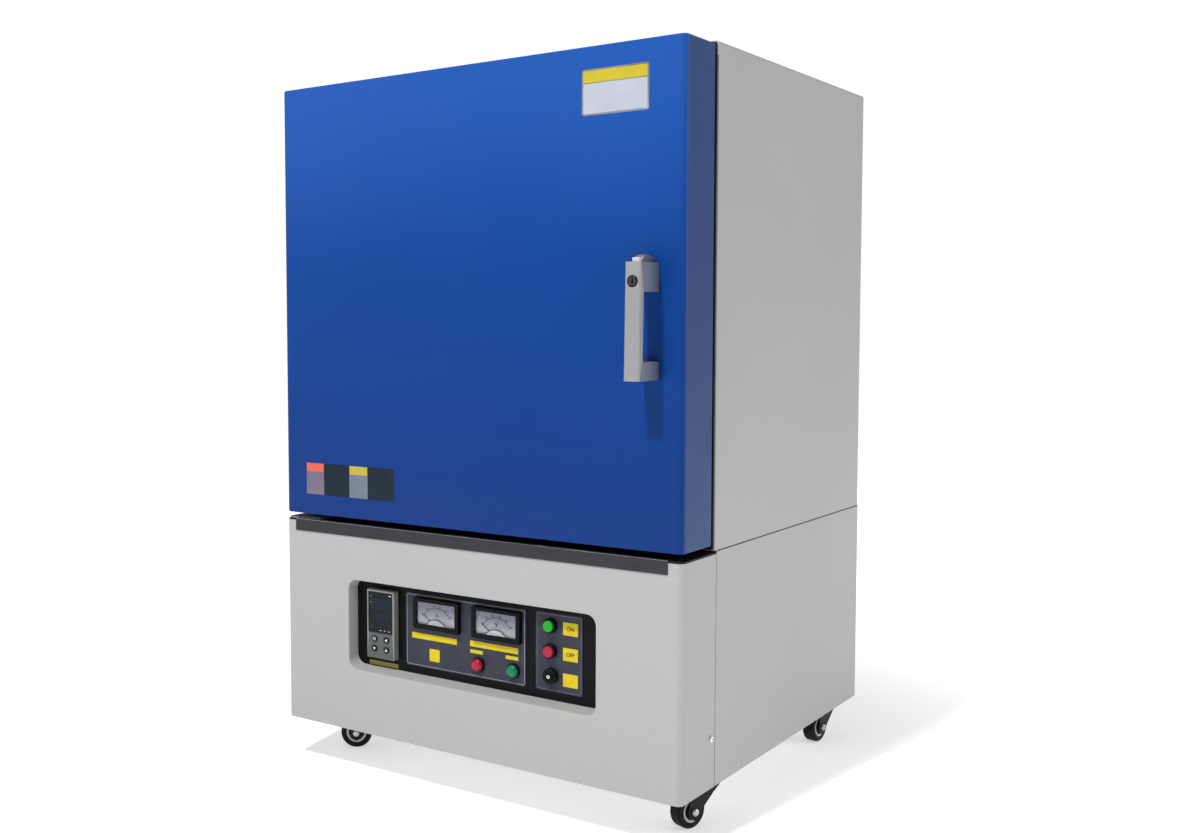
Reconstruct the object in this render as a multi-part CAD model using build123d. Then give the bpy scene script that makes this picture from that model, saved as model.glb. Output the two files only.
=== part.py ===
from build123d import *
import math
import os

os.makedirs("parts", exist_ok=True)

# ------------------------------------------------------------------ driving dimensions (mm)
# Working frame: x from the centre line, y = 0 at the front skin of the door and +y to the rear, z from the floor.
W = 630.0                 # overall width
HX = W / 2
Y_REAR = 585.0            # rear edge of the folded cabinet sheets
Y_FRONT = -48.6           # front of the handle bar, at its foot
Y_TOP = -45.5             # front of the handle bar, at its head
Y_BACK = 608.0            # rear end of the cable gland
YC = (Y_FRONT + Y_BACK) / 2   # moves the model so that the origin is the centre of the footprint
T = 2.0                   # cabinet sheet
RC = 8.0                  # vertical front corners
Z_BOT, Z_TOP = 62.0, 351.0    # lower cabinet skins
Z_SIDE = 354.4            # the side skins reach past the deck's edge
DECK0, DECK1 = 351.0, 353.0   # deck plate
CAS0, CAS1 = 355.0, 967.0     # upper casing
CAS_Y = 85.5              # front edge of the upper casing
DOOR0, DOOR1 = 362.0, 962.0   # door bottom and top
DOOR_T = 75.0             # door thickness
SEAM_Y = 90.5             # seam between the front wrap and the side panels
AXX, AXY = -292.0, 35.0   # door hinge axis
# control panel opening
OX0, OX1, OZ0, OZ1 = -198.4, 199.0, 150.0, 276.0
LIP = 19.0                # depth of the folded lip
LIP_UP = 4.4              # rise of the lower lip over its depth
FAS_Y = 18.0              # front of the printed plates
# furnace chamber
CH_X = 128.0              # half width
CH_Z0, CH_Z1 = 500.0, 740.0
CH_Y1 = 398.0             # rear wall of the chamber
IN_X, IN_Y1, IN_Z0, IN_Z1 = 252.0, 500.0, 372.0, 850.0   # inner casing
TI = 1.5
# handle
HA_X0, HA_X1 = 262.3, 282.3
HA_Z0, HA_Z1 = 565.5, 702.5
LOCK_X, LOCK_Z = 272.3, 680.0
PIV_Y, PIV_Z = 30.0, 684.0     # latch hook pivot
# casters: pivot x, pivot y, direction of the wheel from the pivot (degrees from +x)
CASTERS = [(-243.4, 114.6, 215.0), (285.5, 125.6, 251.0), (279.0, 555.8, 263.0), (-262.0, 516.0, 240.0)]
TRAIL = 30.0
WH_R, WH_W, WH_RING = 23.0, 17.0, 14.8


# ------------------------------------------------------------------ helpers
def box(x0, x1, y0, y1, z0, z1):
    return Pos((x0 + x1) / 2, (y0 + y1) / 2, (z0 + z1) / 2) * Box(abs(x1 - x0), abs(y1 - y0), abs(z1 - z0))


def cyl(axis, a, b, c0, c1, r):
    # cylinder along x: (y, z), along y: (x, z), along z: (x, y)
    h = c1 - c0
    m = (c0 + c1) / 2
    if axis == "x":
        return Pos(m, a, b) * Rot(0, 90, 0) * Cylinder(r, h)
    if axis == "y":
        return Pos(a, m, b) * Rot(90, 0, 0) * Cylinder(r, h)
    return Pos(a, b, m) * Cylinder(r, h)


def rry(x0, x1, z0, z1, r, y0, y1):
    # rounded rectangle in XZ pulled along y
    b = box(x0, x1, y0, y1, z0, z1)
    return fillet(b.edges().filter_by(Axis.Y), r)


def rrz(x0, x1, y0, y1, r, z0, z1):
    b = box(x0, x1, y0, y1, z0, z1)
    return fillet(b.edges().filter_by(Axis.Z), r)


def front_round(b, r):
    return fillet(b.edges().filter_by(Axis.Z).sort_by(Axis.Y)[:2], r)


def pull(points, vec):
    # closed polygon of 3-d points pulled by a vector
    face = make_face(Polyline(*points, close=True))
    v = Vector(*vec)
    return extrude(face, amount=v.length, dir=v.normalized())


def both(shape):
    return [shape, mirror(shape, about=Plane.YZ)]


def solids_of(items):
    out = []
    for s in items if isinstance(items, (list, tuple)) else [items]:
        out.extend(s.solids())
    return out


NAMES = []


def save(name, items):
    sol = [Pos(0, -YC, 0) * s for s in solids_of(items)]
    shape = sol[0] if len(sol) == 1 else Compound(children=sol)
    shape.label = name
    export_step(shape, f"parts/{name}.step")
    NAMES.append(name)
    bb = shape.bounding_box()
    print(f"{name:24s} solids {len(sol):3d} vol {sum(s.volume for s in sol) / 1000:9.2f} cm3  "
          f"x {bb.min.X:7.1f} {bb.max.X:7.1f} y {bb.min.Y:7.1f} {bb.max.Y:7.1f} z {bb.min.Z:7.1f} {bb.max.Z:7.1f}")


# ------------------------------------------------------------------ screws: positions are shared by the holes and the screws
SIDE_SCREWS = [(sx * HX, 79.5, 124.3, sx) for sx in (-1, 1)]
REAR_LOW = [(x, z) for x in (-296.0, 0.0, 296.0) for z in (80.0, 336.0)] + [(x, 208.0) for x in (-296.0, 296.0)]
REAR_UP = [(x, z) for x in (-296.0, 0.0, 296.0) for z in (372.0, 950.0)] + [(x, 660.0) for x in (-296.0, 296.0)]
SH_R, HOLE_R = 2.0, 2.05


def screw_x(x, y, z, s):
    head = cyl("x", y, z, *sorted((x, x + s * 2.2)), 4.2)
    head = fillet(head.faces().sort_by(Axis.X)[-1 if s > 0 else 0].edges(), 1.2)
    head -= box(*sorted((x + s * 1.2, x + s * 3)), y - 0.5, y + 0.5, z - 2.6, z + 2.6)
    head -= box(*sorted((x + s * 1.2, x + s * 3)), y - 2.6, y + 2.6, z - 0.5, z + 0.5)
    return head + cyl("x", y, z, *sorted((x - s * 9, x + s * 0.5)), SH_R)


def screw_y(x, z, y):
    head = cyl("y", x, z, y, y + 2.2, 4.2)
    head = fillet(head.faces().sort_by(Axis.Y)[-1].edges(), 1.2)
    head -= box(x - 0.5, x + 0.5, y + 1.2, y + 3, z - 2.6, z + 2.6)
    head -= box(x - 2.6, x + 2.6, y + 1.2, y + 3, z - 0.5, z + 0.5)
    return head + cyl("y", x, z, y - 9, y + 0.5, SH_R)


# ------------------------------------------------------------------ lower cabinet
wrap = front_round(box(-HX, HX, 0, SEAM_Y, Z_BOT, Z_TOP), RC)
wrap -= front_round(box(-HX + T, HX - T, T, SEAM_Y + 1, Z_BOT - 1, Z_TOP + 1), RC - T)


def lip(off, y0, y1):
    # tapered rounded opening, grown by off
    def sec(y):
        k = y / LIP
        x0, x1 = OX0 - off + 1.2 * k, OX1 + off - 1.2 * k
        z0, z1 = OZ0 - off + LIP_UP * k, OZ1 + off - 1.0 * k
        pl = Plane(origin=((x0 + x1) / 2, y, (z0 + z1) / 2), x_dir=(1, 0, 0), z_dir=(0, -1, 0))
        return pl * RectangleRounded(x1 - x0, z1 - z0, 14 + off)
    return loft([sec(y0), sec(y1)])


wrap -= lip(T, -2, 4)
ring = lip(T, 0, LIP) - lip(0, -2, LIP + 2)
wrap += ring
edge = wrap.edges().filter_by(lambda e: e.bounding_box().max.Y < 0.01 and e.bounding_box().min.Z > OZ0 - 4
                              and e.bounding_box().max.Z < OZ1 + 4 and e.bounding_box().min.X > OX0 - 4
                              and e.bounding_box().max.X < OX1 + 4)
try:
    wrap = fillet(edge, 1.4)
except Exception as err:
    print("opening edge left sharp", err)
for sx in (-1, 1):
    wrap += box(*sorted((sx * (HX - T), sx * (HX - 14))), SEAM_Y - 2, SEAM_Y, 90, 343)
    wrap -= cyl("x", 79.5, 124.3, *sorted((sx * (HX + 1), sx * (HX - 12))), HOLE_R)
save("lower_front_panel", wrap)

sides = []
for sx in (-1, 1):
    p = box(*sorted((sx * HX, sx * (HX - T))), SEAM_Y + 0.8, Y_REAR, Z_BOT, Z_SIDE)
    p += box(*sorted((sx * (HX - T), sx * (HX - 15))), SEAM_Y + 0.8, SEAM_Y + 2.8, 90, 343)
    p += box(*sorted((sx * (HX - T), sx * (HX - 24))), Y_REAR - 2, Y_REAR, Z_BOT + 2, Z_TOP)
    for (x, z) in REAR_LOW:
        p -= cyl("y", x, z, 570, 590, HOLE_R)
    sides.append(p)
save("lower_side_panels", sides)

# base pan with upturned edges and four angle posts that carry the deck
PX, PY0, PY1 = 311.0, 4.0, 581.0
pan = rrz(-PX, PX, PY0, PY1, 16, 64, 88) - rrz(-PX + T, PX - T, PY0 + T, PY1 - T, 14, 66, 89)
for (cx, cy, a) in CASTERS:
    pan -= cyl("z", cx, cy, 60, 70, 4.5)
for sx in (-1, 1):
    for y0, y1 in ((58.0, 84.0), (553.0, 579.0)):
        post = box(*sorted((sx * 309, sx * 283)), y0, y1, 66, 351)
        inner = (y0 + 3, y1 + 1) if y0 < 100 else (y0 - 1, y1 - 3)
        post -= box(*sorted((sx * 306, sx * 282)), *inner, 66, 352)
        pan += post
for sx in (-1, 1):
    pan += box(*sorted((sx * 309, sx * 297)), 84, 553, 345, 351)
pan += box(-306, 306, 60, 66, 345, 351) + box(-306, 306, 573, 579, 345, 351)
for (x, z) in REAR_LOW:
    pan -= cyl("y", x, z, 565, 590, HOLE_R)
for sx in (-1, 1):
    pan -= cyl("x", 79.5, 124.3, *sorted((sx * (HX + 1), sx * (HX - 12))), HOLE_R)
for gx in range(-180, 181, 60):
    for gy in (230, 260, 290, 320):
        pan -= rrz(gx - 16, gx + 16, gy - 3, gy + 3, 2.9, 60, 70)
save("base_frame", pan)

deck = front_round(box(-HX + 0.6, HX - 0.6, 0.6, SEAM_Y, DECK0, DECK1), RC - 0.6)
deck += box(-HX + T + 0.3, HX - T - 0.3, SEAM_Y - 1, Y_REAR - 0.4, DECK0, DECK1)
deck -= cyl("z", 0, 300, 340, 360, 30)
deck -= cyl("z", -180, 540, 340, 360, 12) + cyl("z", 180, 540, 340, 360, 12)
save("deck_plate", deck)

strip = box(-296, 296, -1.2, 9, 337, 354.2) - box(-297, 297, 0, 21, 330, 353)
strip = fillet(strip.edges().filter_by(Axis.X).sort_by(lambda e: e.center().Y - e.center().Z)[:1], 1.0)
save("sill_strip", strip)

GX, GZ = -220.0, 118.0     # cable gland
FX, FZ = 150.0, 214.0      # fan
rear = box(-311, 311, Y_REAR, Y_REAR + 1.5, 66, 349)
for (x, z) in REAR_LOW:
    rear -= cyl("y", x, z, 580, 590, HOLE_R)
rear -= cyl("y", GX, GZ, 580, 590, 10.2)
guard_cut = None
for r0, r1 in ((10, 19), (21, 30), (32, 41), (43, 52)):
    g = cyl("y", FX, FZ, 580, 590, r1) - cyl("y", FX, FZ, 579, 591, r0)
    guard_cut = g if guard_cut is None else guard_cut + g
for a in range(4):
    spoke = Pos(FX, Y_REAR, FZ) * Rot(0, 45 + 90 * a, 0) * Pos(30, 0, 0) * Box(60, 12, 3.2)
    guard_cut -= spoke
rear -= guard_cut
for i in range(9):
    z = 130 + 16 * i
    rear -= rry(-140, -20, z, z + 5, 2.4, 580, 590)
save("lower_rear_panel", rear)

# ------------------------------------------------------------------ upper cabinet
cas = box(-HX, HX, CAS_Y, Y_REAR, CAS0, CAS1)
cas = fillet(cas.edges().filter_by(Axis.Y).sort_by(Axis.Z)[-2:], 4.0)
cas = fillet(cas.edges().filter_by(Axis.Z).sort_by(Axis.Y)[-2:], 3.0)
cas -= fillet(box(-HX + T, HX - T, CAS_Y + T, Y_REAR - T, CAS0 + T, CAS1 - T).edges().filter_by(Axis.Y).sort_by(Axis.Z)[-2:], 2.2)
cas -= box(-299, 299, CAS_Y - 1, CAS_Y + T + 1, CAS0 - 1, 951)
cas -= box(-291, 291, Y_REAR - T - 1, Y_REAR + 1, CAS0 - 1, 945)
cas -= box(-299, 299, CAS_Y - 1, Y_REAR + 1, CAS0 - 1, CAS0 + T + 1)
for (x, z) in REAR_UP:
    cas -= cyl("y", x, z, 570, 590, HOLE_R)
for i in range(11):
    y = 300 + 20 * i
    cas -= rrz(-70, 70, y, y + 6, 2.9, 960, 970)
save("upper_casing", cas)

frame = rry(-312.8, 312.8, 357.2, 964.8, 3, CAS_Y + T, CAS_Y + T + 3)
frame -= rry(-CH_X, CH_X, CH_Z0, CH_Z1, 3, 80, 100)
frame -= box(265, 284.5, 85, 100, 664, 703)
frame += box(-296.5, 296.5, CAS_Y + T, CAS_Y + T + 3, DECK1, 358)
save("upper_front_frame", frame)

rearu = box(-311, 311, Y_REAR, Y_REAR + 1.5, 358, 963)
for (x, z) in REAR_UP:
    rearu -= cyl("y", x, z, 580, 590, HOLE_R)
for i in range(6):
    z = 870 + 11 * i
    for x0 in (-220, 20):
        rearu -= rry(x0, x0 + 200, z, z + 4, 1.9, 580, 590)
for i in range(4):
    z = 380 + 11 * i
    for x0 in (-220, 20):
        rearu -= rry(x0, x0 + 200, z, z + 4, 1.9, 580, 590)
save("upper_rear_panel", rearu)

FR_Y = CAS_Y + T + 3       # rear of the front frame = start of the inner casing
# inner casing: five spot-welded sheets on two channel rails
inn_top = box(-IN_X, IN_X, FR_Y, IN_Y1, IN_Z1 - TI, IN_Z1)
inn = [box(-IN_X, IN_X, FR_Y, IN_Y1, IN_Z0, IN_Z0 + TI), box(-IN_X + TI, IN_X - TI, IN_Y1 - TI, IN_Y1, IN_Z0 + TI, IN_Z1 - TI)]
for sx in (-1, 1):
    inn.append(box(*sorted((sx * (IN_X - TI), sx * IN_X)), FR_Y, IN_Y1, IN_Z0 + TI, IN_Z1 - TI))
    inn.append(box(sx * 200 - 20, sx * 200 + 20, 100, 490, DECK1, IN_Z0) - box(sx * 200 - 17, sx * 200 + 17, 99, 491, DECK1 - 1, IN_Z0 - 2))
ELEM_Y = (190.0, 260.0, 330.0)
ELX, ELS, EL_R, EL_T = 106.0, 40.0, 6.0, 3.0
shanks = [(sx * ELX, y + d) for sx in (-1, 1) for y in ELEM_Y for d in (0, ELS)]
for (x, y) in shanks:
    inn_top -= cyl("z", x, y, IN_Z1 - 5, IN_Z1 + 5, 9)
inn_top -= cyl("z", 0, 250, IN_Z1 - 5, IN_Z1 + 5, 7)
save("inner_casing", inn + [inn_top])

ix, iy1, iz0, iz1 = IN_X - TI, IN_Y1 - TI, IN_Z0 + TI, IN_Z1 - TI
save("insulation_floor", box(-ix, ix, FR_Y, iy1, iz0, CH_Z0))
save("insulation_walls", box(-ix, ix, FR_Y, iy1, CH_Z0, CH_Z1) - box(-CH_X, CH_X, FR_Y - 1, CH_Y1, CH_Z0 - 1, CH_Z1 + 1))
roof = box(-ix, ix, FR_Y, iy1, CH_Z1, iz1)
bush = []
for (x, y) in shanks:
    roof -= cyl("z", x, y, CH_Z1 - 1, iz1 + 1, 7.4)
    b = cyl("z", x, y, IN_Z1, IN_Z1 + 9, 13) - cyl("z", x, y, IN_Z1 - 1, IN_Z1 + 10, EL_R + 0.1)
    bush.append(b)
roof -= cyl("z", 0, 250, CH_Z1 - 1, iz1 + 1, 5)
save("insulation_roof", [roof] + bush)
save("hearth_plate", rrz(-96, 96, 150, 385, 4, CH_Z0, CH_Z0 + 12))

elems, clamps = [], []
CL_Z = 878.0
for sx in (-1, 1):
    for k, y in enumerate(ELEM_Y):
        x = sx * ELX
        zb = 556.0
        u = Pos(x, y + ELS / 2, zb) * Rot(0, 90, 0) * Torus(ELS / 2, EL_T)
        u = u & box(x - 10, x + 10, y - 10, y + ELS + 10, zb - 40, zb)
        for d in (0, ELS):
            u += cyl("z", x, y + d, zb, 722, EL_T)
            u += cyl("z", x, y + d, 722, CL_Z + 14, EL_R)
        elems.append(u)
        for d in (0, ELS):
            c = box(x - 13, x + 13, y + d - 11, y + d + 11, CL_Z, CL_Z + 12) - cyl("z", x, y + d, CL_Z - 1, CL_Z + 13, EL_R)
            clamps.append(c)
    for k in (0, 1):
        y = ELEM_Y[k] + ELS
        clamps.append(box(sx * ELX - 8, sx * ELX + 8, y + 11, ELEM_Y[k + 1] - 11, CL_Z + 4, CL_Z + 8))
clamps.append(box(-ELX + 13, ELX - 13, ELEM_Y[2] + ELS - 8, ELEM_Y[2] + ELS + 8, CL_Z + 4, CL_Z + 8))
save("heating_elements", elems)
save("element_clamps", clamps)

tc = cyl("z", 0, 250, 690, 895, 4) + cyl("z", 0, 250, IN_Z1, IN_Z1 + 4, 14) + cyl("z", 0, 250, 890, 918, 19)
tc = fillet(tc.edges().filter_by(GeomType.CIRCLE).sort_by(Axis.Z)[-1:], 4)
save("thermocouple", tc)

# striker: a U bracket with a cross pin behind the front frame
st = box(258, 290, FR_Y, FR_Y + 2, 655, 712) - box(264.5, 285, FR_Y - 1, FR_Y + 3, 664, 703)
st += box(260, 263, FR_Y, FR_Y + 14, 662, 690) + box(286, 289, FR_Y, FR_Y + 14, 662, 690)
st += cyl("x", 97, 675.5, 261, 288, 3.0)
save("latch_striker", st)

# hinge brackets with welded pins
low = box(-313, -296.6, 6, 85, DECK1, DECK1 + 2.5) + box(-300, -258, 9.6, 85, DECK1, DECK1 + 2.5)
low += cyl("z", AXX, AXY, DECK1 + 2, DOOR0 - 0.3, 6.5) + cyl("z", AXX, AXY, DOOR0 - 1, DOOR0 + 26, 5)
upb = box(-310, -268, 46, CAS_Y, 963.8, 966.8) + cyl("z", AXX, AXY, 963.8, 966.8, 13.5) + box(-305.5, -278.5, 35, 50, 963.8, 966.8)
upb += box(-310, -268, CAS_Y - 3, CAS_Y, 930, 966.8)
upb += cyl("z", AXX, AXY, DOOR1 - 26, 966.8, 5)
save("hinge_brackets", [low, upb])

# ------------------------------------------------------------------ door
d = front_round(box(-HX, HX, 0, DOOR_T, DOOR0, DOOR1), RC)
d = fillet(d.faces().sort_by(Axis.Z)[-1].edges().filter_by(lambda e: e.center().Y < DOOR_T - 1), 2.2)
d = fillet(d.faces().sort_by(Axis.Z)[0].edges().filter_by(lambda e: e.center().Y < DOOR_T - 1), 2.2)
d -= front_round(box(-HX + T, HX - T, T, DOOR_T - T, DOOR0 + T, DOOR1 - T), RC - T)
d -= box(-HX + 16, HX - 16, DOOR_T - T - 1, DOOR_T + 1, DOOR0 + 16, DOOR1 - 16)
d -= cyl("z", AXX, AXY, DOOR0 - 1, DOOR0 + T + 1, 5.06) + cyl("z", AXX, AXY, DOOR1 - T - 1, DOOR1 + 1, 5.06)
d -= box(268.2, 276.4, -1, 3, 673.5, 690.5)
for z in (575.5, 691.0):
    d -= cyl("y", 279.6, z, -1, 3, 2.0)
save("door_shell", d)

bp = box(-HX + T + 0.5, HX - T - 0.5, DOOR_T - T - 2, DOOR_T - T, DOOR0 + T + 0.5, DOOR1 - T - 0.5)
PGX, PGZ0, PGZ1 = 120.0, CH_Z0 + 9, CH_Z1 - 9
bp -= box(-PGX - 6, PGX + 6, 60, 80, PGZ0 - 6, PGZ1 + 6)
bp -= box(263.5, 284.5, 60, 80, 668, 703)
save("door_back_panel", bp)

YB = DOOR_T - T - 2        # front of the back panel = rear of the board
board = box(-215, 215, T, YB, 420, 820)


def plug_face(y, hx, z0, z1):
    return Plane(origin=(0, y, (z0 + z1) / 2), x_dir=(1, 0, 0), z_dir=(0, -1, 0)) * RectangleRounded(2 * hx, z1 - z0, 6)


plug = loft([plug_face(YB, PGX, PGZ0, PGZ1), plug_face(135, 107, PGZ0 + 6, PGZ1 - 6)])
save("door_insulation", board + plug)

ga = rry(-152, 152, CH_Z0 - 20, CH_Z1 + 20, 12, DOOR_T - T, CAS_Y + T - 0.3)
ga -= rry(-138, 138, CH_Z0 - 6, CH_Z1 + 6, 6, 60, 100)
ga = fillet(ga.faces().sort_by(Axis.Y)[-1].edges(), 3.5)
save("door_gasket", ga)

# latch bracket, hinge bushes and the button's return spring seat inside the door
br = []
b = box(262, 266, T, 44, 672, 696) + box(279.4, 283.4, T, 44, 672, 696) + box(262, 283.4, 40, 44, 692, 696)
b -= cyl("x", PIV_Y, PIV_Z, 255, 290, 3.0)
br.append(b)
br.append(cyl("x", PIV_Y, PIV_Z, 261.2, 284.2, 3.0))
for z0, z1 in ((DOOR0 + T, DOOR0 + 27), (DOOR1 - 27, DOOR1 - T)):
    br.append(cyl("z", AXX, AXY, z0, z1, 9) - cyl("z", AXX, AXY, z0 - 1, z1 + 1, 5.06))
for z in (575.5, 691.0):
    br.append(cyl("y", 279.6, z, T, T + 4, 4) - cyl("y", 279.6, z, T - 1, T + 5, 1.95))
save("door_fittings", br)

# handle: C body, front bar 9 deep, legs running to the door skin
ha = pull([(HA_X0, Y_TOP, HA_Z1), (HA_X0, Y_FRONT, HA_Z0), (HA_X0, 0, HA_Z0), (HA_X0, 0, HA_Z1)], (HA_X1 - HA_X0, 0, 0))
ha = chamfer(ha.faces().sort_by(Axis.Y)[0].edges(), 1.4)
# finger gap: its front wall runs parallel to the bar's face
ha -= pull([(HA_X0 - 1, -37.3, 668.5), (HA_X0 - 1, -39.1, 587.5), (HA_X0 - 1, 1, 587.5), (HA_X0 - 1, 1, 668.5)], (HA_X1 - HA_X0 + 2, 0, 0))
ha -= cyl("y", LOCK_X, LOCK_Z, -51, -33, 7.05)
ha -= box(267.3, 277.3, -38.5, 1, 689, 704)
ha -= box(267.3, 277.3, -30, 1, 672.5, 690)
for z in (575.5, 691.0):
    ha -= cyl("y", 279.6, z, -10, 1, 1.95)
save("handle_body", ha)

# thumb button: bar with a hump on top, stem down to the tail of the hook
pts = [(-37.8, 697.5), (-37.8, 707.4), (-31.5, 707.8), (-30.5, 708.8), (-26, 710.6), (-20, 711.4), (-14, 710.8), (-7, 709.0), (-1.0, 706.8), (-1.0, 697.5)]
bt = pull([(267.7, y, z) for y, z in pts], (9.2, 0, 0))
bt += box(269.3, 275.3, -26, -20, 689.6, 698)
save("handle_button", bt)

lk = cyl("y", LOCK_X, LOCK_Z, -46.6, -34, 7.0)
lk = fillet(lk.faces().sort_by(Axis.Y)[0].edges(), 0.6)
lk -= box(LOCK_X - 0.9, LOCK_X + 0.9, -48, -41, LOCK_Z - 4, LOCK_Z + 4)
save("lock_cylinder", lk)

hp = [(-28, 689), (-28, 680), (-8, 678.5), (22, 678), (30, 676.5), (38, 678), (60, 679), (100.6, 679), (100.6, 673.5), (103.5, 673.5), (107, 677.5),
      (107, 688), (60, 688), (38, 690), (30, 691.5), (22, 690), (-8, 689)]
hk = pull([(269.8, y, z) for y, z in hp], (5.0, 0, 0))
hk += cyl("x", PIV_Y, PIV_Z, 266.6, 278.8, 6)
hk -= cyl("x", PIV_Y, PIV_Z, 260, 290, 3.05)
save("latch_hook", hk)

# ------------------------------------------------------------------ control panel
plate = box(OX0 - 9, OX1 + 9, LIP, LIP + 2, OZ0 - 3, OZ1 + 8)
CX0, CX1, CZ0, CZ1 = -172.45, -124.45, 168.5, 264.5
MID = (-110.0, 85.8, 165.3, 265.7)
RGT = (101.0, 170.0, 165.7, 266.7)
MET = [(-55.1, "m1"), (42.0, "m2")]
MZ0, MZ1 = 219.5, 261.7
FZ0, FZ1 = 226.4, 256.6
LAMPS = [(11.5, 183.0), (66.9, 183.3)]
BTN = [(123.5, 250.4), (123.5, 217.9)]
KEY = (124.9, 186.4)
cuts = box(CX0 + 1.5, CX1 - 1.5, 10, 30, CZ0 + 1.5, CZ1 - 1.5)
round_cuts = []
for cx, _ in MET:
    round_cuts.append(cyl("y", cx, 240.5, 10, 30, 20.2))
for x, z in LAMPS + BTN + [KEY]:
    round_cuts.append(cyl("y", x, z, 10, 30, 8.1))
plate -= cuts
for c in round_cuts:
    plate -= c
save("control_panel_plate", plate)
fas = []
for x0, x1, z0, z1 in (MID, RGT):
    f = rry(x0, x1, z0, z1, 3, FAS_Y, LIP)
    for c in round_cuts:
        f -= c
    fas.append(f)
save("fascia_plates", fas)

CY = 9.0
case = rry(CX0, CX1, CZ0, CZ1, 2, CY, LIP)
case = fillet(case.faces().sort_by(Axis.Y)[0].edges(), 1.0)
case += box(CX0 + 1.5, CX1 - 1.5, 17, 108, CZ0 + 1.5, CZ1 - 1.5)
WN = (-169.8, -127.1, 204.2, 261.6)
case -= rry(*WN[:2], *WN[2:], 1.5, CY - 1, CY + 3)
KEYS = [(-159.0, 195.7), (-137.9, 195.7), (-159.0, 182.0), (-137.9, 182.0)]
for kx, kz in KEYS:
    case -= rry(kx - 5.2, kx + 5.2, kz - 4.3, kz + 4.3, 3.9, CY - 1, CY + 7)
case -= box(CX0 + 4, CX1 - 4, 24, 105, CZ0 + 4, CZ1 - 4)
save("controller_case", case)
save("controller_window", rry(WN[0], WN[1], WN[2], WN[3], 1.5, CY + 0.7, CY + 3))
for i, (kx, kz) in enumerate(KEYS):
    k = rry(kx - 4.85, kx + 4.85, kz - 3.95, kz + 3.95, 3.6, CY - 0.9, CY + 5)
    k = fillet(k.faces().sort_by(Axis.Y)[0].edges(), 0.5)
    save(f"controller_key_{i + 1}", k)

mets, wins = [], []
MP = []                    # pointer pivots
for cx, nm in MET:
    m = rry(cx - 38, cx + 38, MZ0, MZ1, 2, 11, FAS_Y)
    m = fillet(m.faces().sort_by(Axis.Y)[0].edges(), 1.0)
    m -= box(cx - 32.2, cx + 32.2, 10, 15.6, FZ0, FZ1)
    m -= box(cx - 32.2, cx + 32.2, 13.2, 15.6, 221.2, FZ0 + 1)
    m += cyl("y", cx, 240.5, 17, 62, 20)
    m += cyl("y", cx, 223.8, 13.4, 16, 0.8)
    mets.append(m)
    wins.append(box(cx - 32.2, cx + 32.2, 11.9, 13.0, FZ0, FZ1))
    MP.append((cx, 223.8))
save("meter_cases", mets)
save("meter_windows", wins)
for (cx, pz), nm in zip(MP, ("ammeter_pointer", "voltmeter_pointer")):
    # needle at the left end of the scale: 55 degrees to the left of up
    n = Pos(cx, 14.25, pz) * Rot(0, -55, 0) * Pos(0, 0, 13.5) * Box(0.9, 0.7, 31)
    n = n & box(cx - 31, cx + 31, 13.5, 15.1, 221.5, 256)
    hub = cyl("y", cx, pz, 13.6, 15.2, 2.2)
    n = n + hub - cyl("y", cx, pz, 12, 17, 0.86)
    save(nm, n)

bod, lens = [], []
for x, z in LAMPS:
    b = cyl("y", x, z, 14.5, FAS_Y, 10) + cyl("y", x, z, 17, 55, 8)
    b = fillet(b.faces().sort_by(Axis.Y)[0].edges(), 1.0)
    b -= cyl("y", x, z, 12, 17.2, 8.4)
    bod.append(b)
    l = cyl("y", x, z, 9.5, 17.2, 8.4)
    l = fillet(l.faces().sort_by(Axis.Y)[0].edges(), 5.0)
    lens.append(l)
for x, z in BTN:
    b = cyl("y", x, z, 12.5, FAS_Y, 9.6) + cyl("y", x, z, 17, 55, 8)
    b = fillet(b.faces().sort_by(Axis.Y)[0].edges(), 1.0)
    b -= cyl("y", x, z, 11, 26, 7.5)
    bod.append(b)
b = cyl("y", KEY[0], KEY[1], 10.5, FAS_Y, 10) + cyl("y", KEY[0], KEY[1], 17, 55, 8)
b = fillet(b.faces().sort_by(Axis.Y)[0].edges(), 1.2)
b -= cyl("y", KEY[0], KEY[1], 8, 30, 6.55)
bod.append(b)
save("switch_and_lamp_bodies", bod)
save("lamp_lenses", lens)
for (x, z), nm in zip(BTN, ("on_button", "off_button")):
    b = cyl("y", x, z, 9.5, 21.5, 7.15)
    b = fillet(b.faces().sort_by(Axis.Y)[0].edges(), 0.9)
    save(nm, b)
kb = cyl("y", KEY[0], KEY[1], 9.3, 29.5, 6.5)
kb = fillet(kb.faces().sort_by(Axis.Y)[0].edges(), 0.6)
kb -= box(KEY[0] - 0.8, KEY[0] + 0.8, 8, 17, KEY[1] - 4.2, KEY[1] + 4.2)
save("key_switch_barrel", kb)

# ------------------------------------------------------------------ electrics on the base pan
tr = []
tx, ty = -110.0, 430.0
core = box(tx - 75, tx + 75, ty - 45, ty + 45, 70, 205)
core -= box(tx - 50, tx - 25, ty - 46, ty + 46, 95, 180)
core -= box(tx + 25, tx + 50, ty - 46, ty + 46, 95, 180)
feet = box(tx - 85, tx + 85, ty - 45, ty - 30, 66, 70) + box(tx - 85, tx + 85, ty + 30, ty + 45, 66, 70)
core += feet
coil = rrz(tx - 49.5, tx + 49.5, ty - 68, ty + 68, 20, 96, 179) - box(tx - 25, tx + 25, ty - 45, ty + 45, 90, 190)
tr = [core, coil]
save("transformer", tr)

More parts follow.
